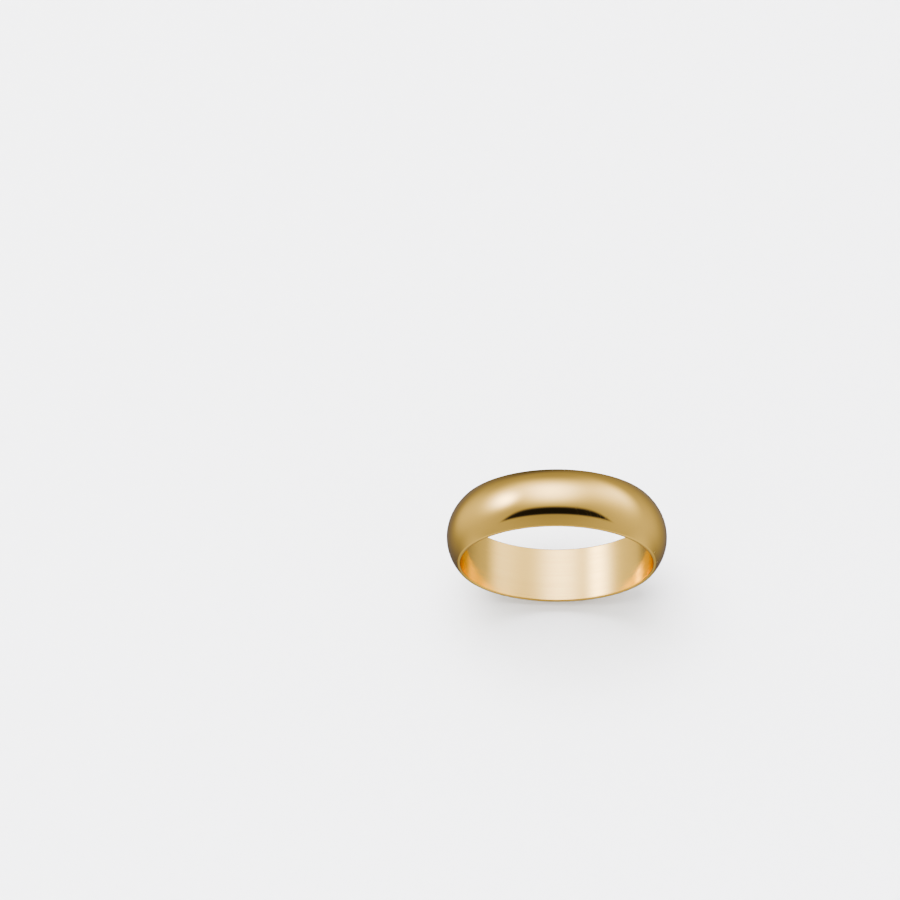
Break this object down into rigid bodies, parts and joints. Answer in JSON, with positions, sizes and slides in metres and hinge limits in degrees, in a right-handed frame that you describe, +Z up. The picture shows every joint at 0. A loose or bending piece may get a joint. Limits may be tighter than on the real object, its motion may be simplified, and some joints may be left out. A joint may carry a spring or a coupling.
{
  "type": "wedding band",
  "caption": "Plain polished yellow gold wedding band with a half-round outside, narrow flat sides, softened inner edges and a straight bore for the finger.",
  "frame": {"origin": "centre of the finger bore, midway between the band's two sides", "axes": "+Y along the bore axis, out of the back side; +Z up with the ring standing upright; +X to the right"},
  "size_m": [0.0206, 0.0054, 0.0206],
  "materials": {
    "gold": null
  },
  "bodies": {
    "root": {"band": "gold"}
  },
  "joints": []
}
